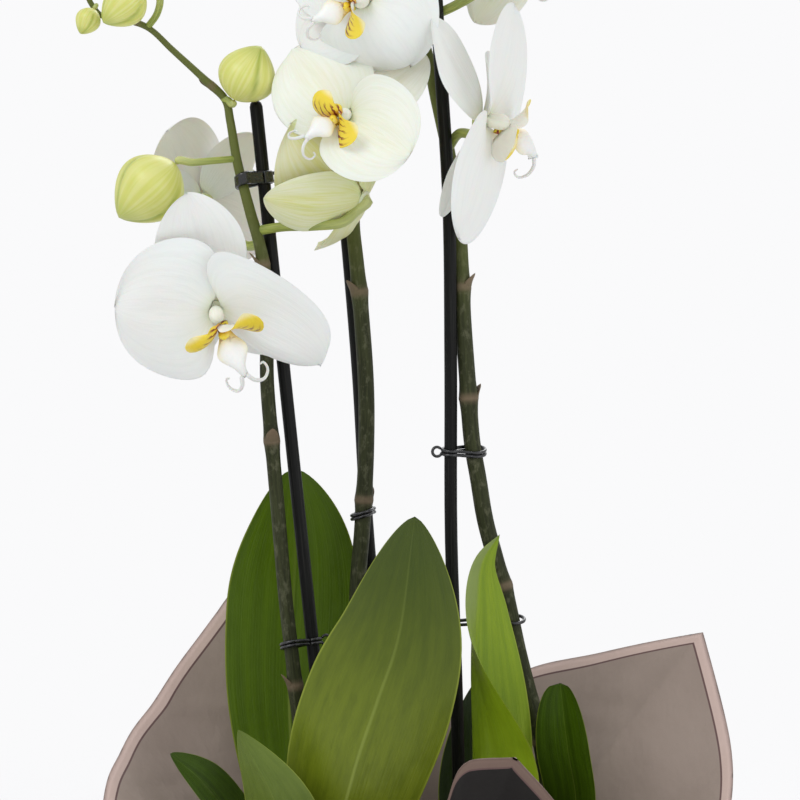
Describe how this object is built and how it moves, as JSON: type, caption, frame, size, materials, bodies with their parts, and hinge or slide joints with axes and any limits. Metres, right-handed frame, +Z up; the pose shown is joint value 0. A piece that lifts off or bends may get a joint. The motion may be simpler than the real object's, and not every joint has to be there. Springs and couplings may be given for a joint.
{
  "type": "potted orchid",
  "caption": "Potted moth orchid: strap leaves and staked, clipped spikes of white flowers and buds in a nursery pot, inside a flared paper wrap with a pale border.",
  "frame": {"origin": "centre of the wrap's flat underside, on the pot's axis", "axes": "+Z up the plant, -Y towards the front as pictured, +X to the right"},
  "size_m": [0.2941, 0.1951, 0.6461],
  "materials": {
    "petal": "white, satin, faintly veined",
    "lip": "white and yellow with dark red stripes",
    "stem": "satin, dark olive green",
    "bud": "satin, yellow green",
    "leaf": "satin, mid green with a pale midrib",
    "crown": "matte, sheathed with old leaf bases",
    "bark": "rough bark chips",
    "stake": "satin black",
    "clip": "gloss black",
    "pot_plastic": "satin dark brown",
    "wrap_paper": "matte taupe with a pale border"
  },
  "bodies": {
    "root": {"wrap": "wrap_paper", "pot": "pot_plastic", "growing_medium": "bark", "crown_left": "crown", "crown_right": "crown", "leaf_front": "leaf", "leaf_back_tall": "leaf", "leaf_left_front": "leaf", "leaf_left": "leaf", "leaf_right_tall": "leaf", "leaf_right_small": "leaf", "leaf_back_dark": "leaf", "leaf_back_short": "leaf", "spike_a": "stem", "spike_b": "stem", "spike_c": "stem", "stake_a": "stake", "stake_b": "stake", "stake_c": "stake", "clip_a_top": "clip", "clip_a_middle": "clip", "clip_a_low": "clip", "clip_b": "clip", "clip_c_top": "clip", "clip_c_low": "clip", "bud_a1": "bud", "bud_a2": "bud", "bud_a3": "bud", "bud_a4": "bud", "bud_b1": "bud", "bud_b2": "bud", "bud_c1": "bud", "bud_c2": "bud", "flower_a1_sepals": "petal", "flower_a1_petals": "petal", "flower_a1_lip": "lip", "flower_a2_sepals": "petal", "flower_a2_petals": "petal", "flower_a2_lip": "lip", "flower_a3_sepals": "petal", "flower_a3_petals": "petal", "flower_a3_lip": "lip", "flower_b1_sepals": "petal", "flower_b1_petals": "petal", "flower_b1_lip": "lip", "flower_b2_sepals": "petal", "flower_b2_petals": "petal", "flower_b2_lip": "lip", "flower_c1_sepals": "petal", "flower_c1_petals": "petal", "flower_c1_lip": "lip", "flower_c2_sepals": "petal", "flower_c2_petals": "petal", "flower_c2_lip": "lip", "flower_c3_sepals": "petal", "flower_c3_petals": "petal", "flower_c3_lip": "lip"}
  },
  "joints": []
}
